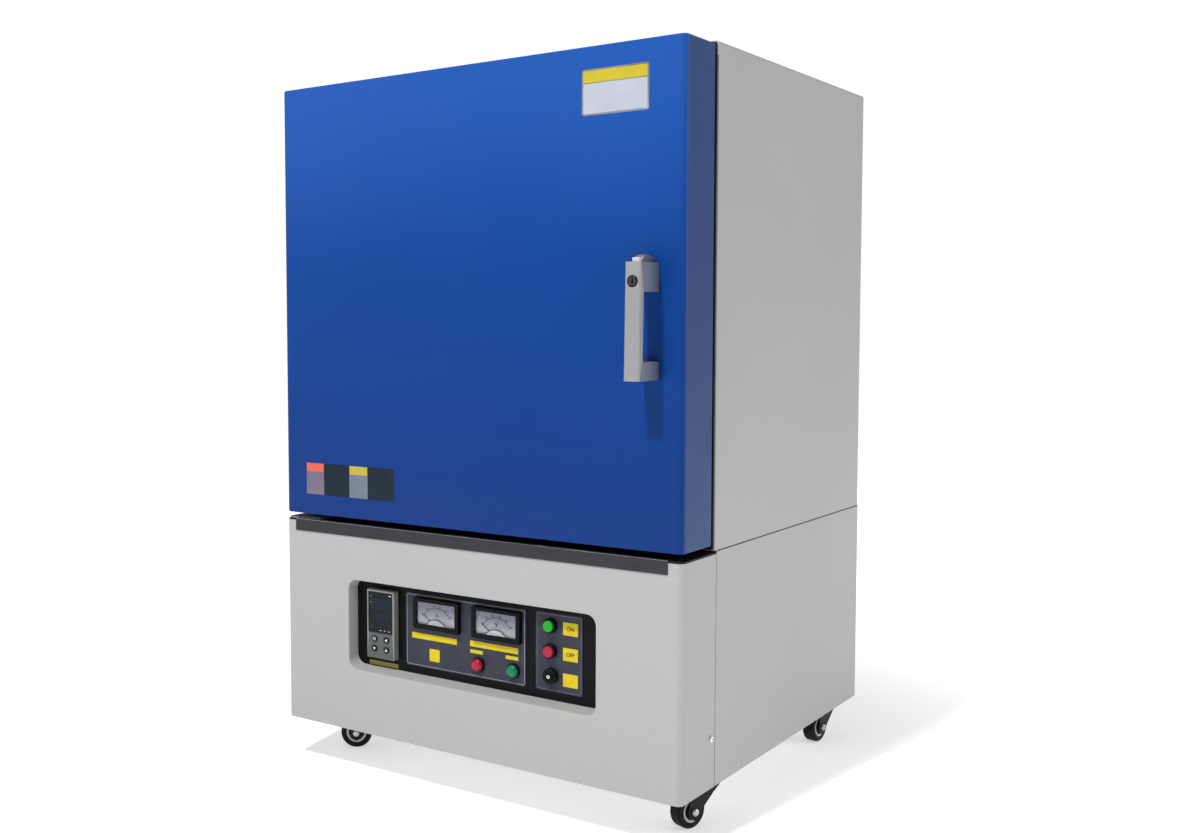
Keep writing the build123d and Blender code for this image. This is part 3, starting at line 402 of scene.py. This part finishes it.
# painted shade: the hump behind the white front block takes the dark copy
dress("handle_button", btn_white, btn_shaded, choose=lambda c, n: 1 if c[1] > -31.2 or abs(n[0]) > 0.7 and c[1] > -31.2 else 0)
dress("lock_cylinder", lock)
dress("latch_hook", zinc)
dress("control_panel_plate", black)
dress("fascia_plates", fascia)
dress("controller_case", pl_grey, pl_mid, pl_black,
      choose=lambda c, n: 2 if c[1] > 18.9 else (1 if c[2] < 204.1 and -170.0 < c[0] < -127.0 and n[1] < -0.9 else 0))
dress("controller_window", window)
for i in range(4):
    dress(f"controller_key_{i + 1}", key_grey)
dress("meter_cases", pl_black)
dress("meter_windows", glass)
dress("ammeter_pointer", ink)
dress("voltmeter_pointer", ink)
dress("switch_and_lamp_bodies", ring_dark)
dress("lamp_lenses", red_lens, green_lens, choose=lambda c, n: 1 if c[0] > 40 else 0)
dress("on_button", green_btn)
dress("off_button", red_btn)
dress("key_switch_barrel", pl_black)
dress("transformer", core, copper, choose=lambda c, n: 1 if abs(c[1] - 430) > 45.5 else 0)
dress("power_regulator", heatsink, fan_black, choose=lambda c, n: 1 if c[2] > 104.2 or c[0] > 150 else 0)
dress("cable_gland", gland)
dress("fan_housing", fan_black)
dress("fan_rotor", fan_black)
dress("caster_plates", fork_black)
dress("cabinet_screws", chrome)
for i, (cx, cy, a) in enumerate(CASTERS, 1):
    ca, sa = math.cos(math.radians(a)), math.sin(math.radians(a))
    ctr, ax = (cx + 30 * ca, cy + 30 * sa, 23.0), (-sa, ca)

    def along(c, ctr=ctr, ax=ax):
        return (c[0] - ctr[0]) * ax[0] + (c[1] - ctr[1]) * ax[1]

    def radius(c, ctr=ctr, ax=ax):
        d = (c[0] - ctr[0], c[1] - ctr[1], c[2] - ctr[2])
        t = d[0] * ax[0] + d[1] * ax[1]
        return math.sqrt(max(0.0, d[0] ** 2 + d[1] ** 2 + d[2] ** 2 - t * t))

    dress(f"caster_fork_{i}", fork_black, bolt, choose=lambda c, n, al=along, ra=radius: 1 if abs(al(c)) > 13.25 and ra(c) < 5.3 else 0)
    dress(f"caster_wheel_{i}", rubber, ring_pale, fork_black,
          choose=lambda c, n, al=along, ra=radius: 1 if 11.4 < ra(c) < 14.79 and abs(al(c)) > 6.4 else (2 if ra(c) < 11.7 else 0))


# ------------------------------------------------------------------ mesh helpers for the added pieces
def rr(x0, x1, z0, z1, r, n=7):
    pts = []
    for cx, cz, a0 in ((x1 - r, z1 - r, 0), (x0 + r, z1 - r, 90), (x0 + r, z0 + r, 180), (x1 - r, z0 + r, 270)):
        for i in range(n + 1):
            a = math.radians(a0 + 90 * i / n)
            pts.append((cx + r * math.cos(a), cz + r * math.sin(a)))
    return pts


def obj_from(bm, name, mat, body, bevel=0.0):
    bmesh.ops.recalc_face_normals(bm, faces=bm.faces)
    me = bpy.data.meshes.new(name)
    bm.to_mesh(me)
    bm.free()
    o = bpy.data.objects.new(name, me)
    bpy.context.scene.collection.objects.link(o)
    me.materials.append(mat.m)
    if bevel:
        b = o.modifiers.new("edge", "BEVEL")
        b.width, b.segments, b.limit_method, b.angle_limit = bevel / 1000, 2, "ANGLE", math.radians(40)
        b.harden_normals = False
    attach(o, body)
    return o


def add_prism(bm, pts, y0, y1):
    f = [bm.verts.new(P(x, y0, z)) for x, z in pts]
    k = [bm.verts.new(P(x, y1, z)) for x, z in pts]
    bm.faces.new(f)
    bm.faces.new(list(reversed(k)))
    n = len(pts)
    for i in range(n):
        j = (i + 1) % n
        bm.faces.new((f[i], k[i], k[j], f[j]))


def add_ring(bm, outer, inner, y0, y1):
    a = [[bm.verts.new(P(x, y, z)) for x, z in loop] for loop in (outer, inner) for y in (y0, y1)]
    of, ok, nf, nk = a
    n = len(outer)
    for i in range(n):
        j = (i + 1) % n
        bm.faces.new((of[i], of[j], nf[j], nf[i]))
        bm.faces.new((ok[i], nk[i], nk[j], ok[j]))
        bm.faces.new((of[i], ok[i], ok[j], of[j]))
        bm.faces.new((nf[i], nf[j], nk[j], nk[i]))


def plate(name, x0, x1, z0, z1, r, y0, y1, mat, body="cabinet", bevel=0.06):
    bm = bmesh.new()
    add_prism(bm, rr(x0, x1, z0, z1, r), y0, y1)
    return obj_from(bm, name, mat, body, bevel)


def outline(name, x0, x1, z0, z1, r, w, y0, y1, mat, body="cabinet"):
    bm = bmesh.new()
    add_ring(bm, rr(x0, x1, z0, z1, r), rr(x0 + w, x1 - w, z0 + w, z1 - w, max(r - w, 0.05)), y0, y1)
    return obj_from(bm, name, mat, body, 0.03)


def add_text(bm, body_text, x, z, y0, y1, size, bold=0.0):
    # generic figures and words only, as thin raised ink
    cu = bpy.data.curves.new("t", "FONT")
    cu.body = body_text
    cu.size = size
    cu.align_x, cu.align_y = "CENTER", "CENTER"
    cu.offset = bold
    cu.extrude = 0.0
    cu.resolution_u = 3
    o = bpy.data.objects.new("t", cu)
    bpy.context.scene.collection.objects.link(o)
    dg = bpy.context.evaluated_depsgraph_get()
    me = bpy.data.meshes.new_from_object(o.evaluated_get(dg))
    tmp = bmesh.new()
    tmp.from_mesh(me)
    bmesh.ops.dissolve_limit(tmp, angle_limit=0.01, verts=tmp.verts, edges=tmp.edges)
    res = bmesh.ops.extrude_face_region(tmp, geom=list(tmp.faces))
    for v in [g for g in res["geom"] if isinstance(g, bmesh.types.BMVert)]:
        v.co.z = 1.0
    m2 = bpy.data.meshes.new("t2")
    for v in tmp.verts:
        q = P(x + v.co.x, y0 if v.co.z > 0.5 else y1, z + v.co.y)
        v.co = q
    tmp.to_mesh(m2)
    tmp.free()
    bm.from_mesh(m2)
    bpy.data.meshes.remove(m2)
    bpy.data.meshes.remove(me)
    bpy.data.objects.remove(o)
    bpy.data.curves.remove(cu)


def bar(bm, x0, z0, x1, z1, w, y0, y1):
    d = Vector((x1 - x0, z1 - z0))
    n = Vector((-d.y, d.x)).normalized() * w / 2
    add_prism(bm, [(x0 + n.x, z0 + n.y), (x0 - n.x, z0 - n.y), (x1 - n.x, z1 - n.y), (x1 + n.x, z1 + n.y)], y0, y1)


# ------------------------------------------------------------------ printed film on the two instrument plates
FY = 18.0
F0, F1 = FY - 0.12, FY - 0.01
outline("fascia_outline_middle", -108.4, 84.2, 167.0, 264.2, 3.0, 0.75, F0, F1, fascia_line)
outline("fascia_outline_right", 102.6, 168.4, 167.4, 265.0, 3.0, 0.8, F0, F1, fascia_line2)
plate("label_current", -99.5, -23.8, 204.0, 211.9, 0.4, F0 - 0.05, F1, yellow)
plate("label_voltage", -2.2, 74.1, 205.9, 213.7, 0.4, F0 - 0.05, F1, yellow)
plate("label_lamp_left", -1.9, 18.3, 197.1, 201.9, 0.3, F0 - 0.05, F1, yellow)
plate("label_lamp_right", 54.6, 74.2, 197.4, 202.1, 0.3, F0 - 0.05, F1, yellow)
plate("tag_on", 141.6, 163.4, 240.8, 257.3, 0.6, F0 - 0.05, F1, yellow)
plate("tag_off", 141.6, 163.4, 208.2, 224.7, 0.6, F0 - 0.05, F1, yellow)
plate("tag_key", 141.6, 163.4, 175.0, 192.0, 0.6, F0 - 0.05, F1, yellow)
plate("label_controller", -176.0, -125.0, 155.6, 162.0, 0.3, 18.85, 18.99, olive)
bm = bmesh.new()
add_prism(bm, rr(-69.6, -52.6, 175.6, 192.6, 1.6), F0 - 0.05, F1)
obj_from(bm, "tag_blank", yellow, "cabinet", 0.05)
bm = bmesh.new()
add_text(bm, "ON", 152.5, 249.0, F0 - 0.12, F0 - 0.02, 7.0, 0.12)
add_text(bm, "OFF", 152.5, 216.4, F0 - 0.12, F0 - 0.02, 7.0, 0.12)
obj_from(bm, "tag_print", ink, "cabinet")

# ------------------------------------------------------------------ meter dials
for k, cx in enumerate(MET):
    nm = ("ammeter", "voltmeter")[k]
    plate(nm + "_dial", cx - 32.1, cx + 32.1, 221.3, FZ1 - 0.05, 0.3, 15.35, 15.59, dial, bevel=0.0)
    bm = bmesh.new()
    y0, y1 = 15.22, 15.36
    # arc scale, graduated over the pointer's turn
    steps, r0 = 44, 26.4
    for i in range(steps):
        a, b = (math.radians(-55 + 110 * j / steps) for j in (i, i + 1))
        bar(bm, cx + r0 * math.sin(a), MPZ + r0 * math.cos(a), cx + r0 * math.sin(b), MPZ + r0 * math.cos(b), 0.75, y0, y1)
        bar(bm, cx + 21.4 * math.sin(a), MPZ + 21.4 * math.cos(a), cx + 21.4 * math.sin(b), MPZ + 21.4 * math.cos(b), 0.2, y0, y1)
    for i in range(31):
        a = math.radians(-55 + 110 / 30 * i)
        ln, w = (3.0, 0.5) if i % 6 == 0 else (1.7, 0.28)
        bar(bm, cx + (r0 - ln) * math.sin(a), MPZ + (r0 - ln) * math.cos(a), cx + r0 * math.sin(a), MPZ + r0 * math.cos(a), w, y0, y1)
    for i in range(6):
        a = math.radians(-55 + 22 * i)
        v = (0, 20, 40, 60, 80, 100)[i] if k == 0 else (0, 50, 100, 150, 200, 250)[i]
        add_text(bm, str(v), cx + (r0 + 2.3) * math.sin(a), MPZ + (r0 + 2.3) * math.cos(a) - 0.2, y0, y1, 2.9, 0.05)
    add_text(bm, "AV"[k], cx, 240.2, y0, y1, 6.6, 0.28)
    obj_from(bm, nm + "_scale", ink, "cabinet")
    # pivot cover: a low half disc at the foot of the face, with a dark rim
    for nmx, r, mt, ya, yb in (("_pivot_rim", 19.9, ink, 12.85, 13.05), ("_pivot_cover", 19.1, pivot_pale, 12.75, 12.96)):
        bm = bmesh.new()
        zc, z0 = 226.45 - 11.7, 226.46
        a0 = math.degrees(math.asin((z0 - zc) / r))
        pts = [(cx + r * math.cos(math.radians(t)), zc + r * math.sin(math.radians(t))) for t in [a0 + (180 - 2 * a0) * j / 24 for j in range(25)]]
        add_prism(bm, pts, ya, yb)
    # both stand on the inside of the window, so they ride with the case
        obj_from(bm, nm + nmx, mt, "cabinet", 0.0)
    outline(nm + "_bezel_edge", cx - 32.9, cx + 32.9, FZ0 - 0.7, FZ1 + 0.7, 0.9, 0.7, 10.93, 11.2, pl_black)

# ------------------------------------------------------------------ controller: unlit digits and key marks
bm = bmesh.new()
WY = 9.7


def seven(bm, x, z, w, h, t, y0, y1):
    for (ax, az, bx, bz) in ((0, h, w, h), (0, h / 2, w, h / 2), (0, 0, w, 0)):
        bar(bm, x + ax + t * 0.6, z + az, x + bx - t * 0.6, z + bz, t, y0, y1)
    for (ax, az, bx, bz) in ((0, 0, 0, h / 2), (0, h / 2, 0, h), (w, 0, w, h / 2), (w, h / 2, w, h)):
        bar(bm, x + ax, z + az + t * 0.6, x + bx, z + bz - t * 0.6, t, y0, y1)


for i in range(4):
    seven(bm, -165.5 + 9.2 * i, 240.0, 5.6, 10.5, 1.0, WY - 0.06, WY + 0.02)
    seven(bm, -160.5 + 7.0 * i, 222.5, 4.2, 8.0, 0.8, WY - 0.06, WY + 0.02)
for i in range(5):
    bar(bm, -166.5 + 3.8 * i, 212.0, -164.3 + 3.8 * i, 212.0, 1.3, WY - 0.06, WY + 0.02)
obj_from(bm, "controller_digits", digit, "cabinet")
bm = bmesh.new()
for dx, dz_, wd in ((-166.9, 254.6, 1.5), (-166.9, 246.4, 1.5), (-134.5, 257.6, 4.4), (-150.0, 208.0, 3.0), (-142.5, 208.0, 2.4), (-135.0, 208.0, 2.8)):
    bar(bm, dx, dz_, dx + wd, dz_, 0.7, WY - 0.08, WY + 0.02)
obj_from(bm, "controller_window_marks", ink_white, "cabinet")
outline("controller_window_edge", -170.0, -126.9, 204.0, 261.8, 1.6, 0.7, 8.96, 9.2, ink)
for i, (kx, kz) in enumerate(KEYS):
    bm = bmesh.new()
    y0, y1 = 8.02, 8.12
    if i == 0:
        add_ring(bm, [(kx + 2.4 * math.cos(a / 16 * math.pi), kz + 2.4 * math.sin(a / 16 * math.pi)) for a in range(32)],
                 [(kx + 1.6 * math.cos(a / 16 * math.pi), kz + 1.6 * math.sin(a / 16 * math.pi)) for a in range(32)], y0, y1)
    elif i == 1:
        add_prism(bm, [(kx + 1.8, kz + 2.4), (kx - 2.2, kz), (kx + 1.8, kz - 2.4)], y0, y1)
    elif i == 2:
        add_prism(bm, [(kx - 2.4, kz + 1.7), (kx + 2.4, kz + 1.7), (kx, kz - 2.2)], y0, y1)
    else:
        add_prism(bm, [(kx - 2.4, kz - 1.7), (kx + 2.4, kz - 1.7), (kx, kz + 2.2)], y0, y1)
    obj_from(bm, f"controller_key_mark_{i + 1}", ink_white, f"controller_key_{i + 1}_body")

# key switch: bright plug with its slot in the black barrel
bm = bmesh.new()
kx, kz = 124.9, 186.4
add_ring(bm, [(kx + 2.3 * math.cos(a / 16 * math.pi), kz + 2.3 * math.sin(a / 16 * math.pi)) for a in range(32)],
         [(kx + 0.9 * math.cos(a / 16 * math.pi), kz + 1.6 * math.sin(a / 16 * math.pi)) for a in range(32)], 9.15, 9.6)
obj_from(bm, "key_plug", chrome, "key_switch_barrel_body", 0.1)

# lock: mid-grey slot plate on the dark disc
bm = bmesh.new()
LX, LZ = 272.3, 680.0
add_ring(bm, [(LX + 4.9 * math.cos(a / 18 * math.pi), LZ + 4.9 * math.sin(a / 18 * math.pi)) for a in range(36)],
         [(LX + 1.0 * math.cos(a / 18 * math.pi), LZ + 4.1 * math.sin(a / 18 * math.pi)) for a in range(36)], -46.78, -46.55)
obj_from(bm, "lock_slot_plate", lock_plate, "lock_cylinder_body", 0.08)

# painted shadow: near-black strips set just below the skin where the sheets meet, standing in for the shade in the seam
# gaps
for s_ in (-1, 1):
    xa, xb = sorted((s_ * 313.1, s_ * 314.55))
    for nm_, ya, yb, za, zb in (("seam_shadow_level", 91.5, 584.5, 354.42, 354.98), ("seam_shadow_upright", 90.52, 91.28, 62.5, 354.3)):
        bm = bmesh.new()
        add_prism(bm, [(xa, za), (xb, za), (xb, zb), (xa, zb)], ya, yb)
        obj_from(bm, nm_ + ("_left" if s_ < 0 else "_right"), charcoal, "cabinet", 0.02)

# painted shade: a near-black band set like a foam seal between the casing's front flange and the door, standing in for
# the shade in that gap
bm = bmesh.new()
add_ring(bm, rr(-313.3, 313.3, 356.6, 965.4, 3.0), rr(-303.0, 303.0, 367.0, 955.0, 2.0), 83.2, 85.45)
obj_from(bm, "casing_gap_shade_band", charcoal, "cabinet", 0.3)

# ------------------------------------------------------------------ door: blank plate and colour strip
D0 = -0.16
plate("door_plate_edge", 177.5, 268.0, 880.0, 934.5, 3.0, D0, 0.0, sticker_edge, "door", 0.05)
plate("door_plate_white", 179.6, 265.9, 882.0, 917.5, 1.2, D0 - 0.06, D0 + 0.02, sticker_white, "door", 0.03)
plate("door_plate_yellow", 179.6, 265.9, 918.6, 932.5, 1.2, D0 - 0.06, D0 + 0.02, st_yellow, "door", 0.03)
SX = (-275.0, -242.0, -195.0, -162.0, -115.2)
for i, (mt, top) in enumerate(((st_mauve, st_orange), (st_navy, None), (st_grey, st_yellow), (st_navy, None))):
    x0, x1 = SX[i], SX[i + 1]
    plate(f"door_strip_{i + 1}", x0, x1, 391.0, 435.6, 0.3, -0.10, 0.0, mt, "door", 0.03)
    if top:
        plate(f"door_strip_band_{i + 1}", x0 + 0.8, x1 - 0.8, 423.4, 434.8, 0.3, -0.16, -0.08, top, "door", 0.03)

# ------------------------------------------------------------------ stage, lights, camera
me = bpy.data.meshes.new("floor")
bm = bmesh.new()
bmesh.ops.create_grid(bm, x_segments=8, y_segments=8, size=14)
bm.to_mesh(me)
bm.free()
floor = bpy.data.objects.new("floor", me)
floor.location = (0, 0, -0.0005)
bpy.context.scene.collection.objects.link(floor)
# painted light: the floor glows, less within about 0.4 m of the cabinet and more farther out, so it fades into the
# white backdrop while the ground near the cabinet stays darker
fm = Mat("floor_painted_glow")
fm.link(fm.mix(fm.ramp(fm.noise(3, 3), 0.3, 0.7), (0.86, 0.86, 0.86), (0.90, 0.90, 0.90)), "Base Color")
fm.set(rough=0.9, spec=0.05, emit_color=(1.0, 1.0, 1.0))
dist = fm.nt.nodes.new("ShaderNodeVectorMath")
dist.operation = "LENGTH"
fm.nt.links.new(fm.coord, dist.inputs[0])
fm.link(fm.ramp(dist.outputs["Value"], 0.40, 1.1, 0.50, 0.84), "Emission Strength")
me.materials.append(fm.m)

world = bpy.data.worlds.new("studio")
bpy.context.scene.world = world
world.use_nodes = True
wn = world.node_tree
wn.nodes.clear()
wo = wn.nodes.new("ShaderNodeOutputWorld")
bg = wn.nodes.new("ShaderNodeBackground")
bg.inputs[0].default_value = (1.0, 1.0, 1.0, 1)
bg2 = wn.nodes.new("ShaderNodeBackground")
bg2.inputs[0].default_value = (1.0, 1.0, 1.0, 1)
bg2.inputs[1].default_value = 0.18
bg.inputs[1].default_value = 1.0
lp = wn.nodes.new("ShaderNodeLightPath")
mx = wn.nodes.new("ShaderNodeMixShader")
wn.links.new(lp.outputs["Is Camera Ray"], mx.inputs[0])
wn.links.new(bg2.outputs[0], mx.inputs[1])
wn.links.new(bg.outputs[0], mx.inputs[2])
wn.links.new(mx.outputs[0], wo.inputs[0])


def area(name, loc, target, size, power, color=(1, 1, 1), size_y=None):
    li = bpy.data.lights.new(name, "AREA")
    li.energy, li.color = power, color
    li.shape = "RECTANGLE"
    li.size, li.size_y = size, size_y or size
    o = bpy.data.objects.new(name, li)
    o.location = loc
    o.rotation_mode = "QUATERNION"
    o.rotation_quaternion = (Vector(target) - Vector(loc)).to_track_quat("-Z", "Y")
    bpy.context.scene.collection.objects.link(o)
    return o


area("key", (0.06, -1.9, 2.85), (0.15, -0.28, 0.6), 0.20, 80)
area("soft_left", (-1.9, -1.7, 1.5), (-0.1, -0.28, 0.6), 1.5, 5)
area("fill_right", (3.0, 1.3, 1.3), (0.3, 0, 0.5), 2.2, 34)
area("top", (0.2, -0.6, 3.4), (0, -0.2, 0.5), 2.2, 10)

cam_data = bpy.data.cameras.new("camera")
cam = bpy.data.objects.new("camera", cam_data)
bpy.context.scene.collection.objects.link(cam)
yaw, pitch, roll = math.radians(36.85), math.radians(3.62), math.radians(-0.23)
f = Vector((-math.sin(yaw) * math.cos(pitch), math.cos(yaw) * math.cos(pitch), -math.sin(pitch)))
r = Vector((math.cos(yaw), math.sin(yaw), 0))
u = r.cross(f)
r2 = math.cos(roll) * r + math.sin(roll) * u
u2 = -math.sin(roll) * r + math.cos(roll) * u
cam.matrix_world = Matrix.Translation(P(1006.5, -1392.3, 634.3)) @ Matrix((r2, u2, -f)).transposed().to_4x4()
cam_data.sensor_fit = "HORIZONTAL"
cam_data.sensor_width = 36.0
cam_data.lens = 1326.3 / 1200 * 36
cam_data.shift_x = (600 - 440) / 1200
cam_data.shift_y = -(416.5 - 406) / 1200
cam_data.clip_start, cam_data.clip_end = 0.05, 60
bpy.context.scene.camera = cam
vs = bpy.context.scene.view_settings
vs.view_transform = "Standard"
vs.look = "None"
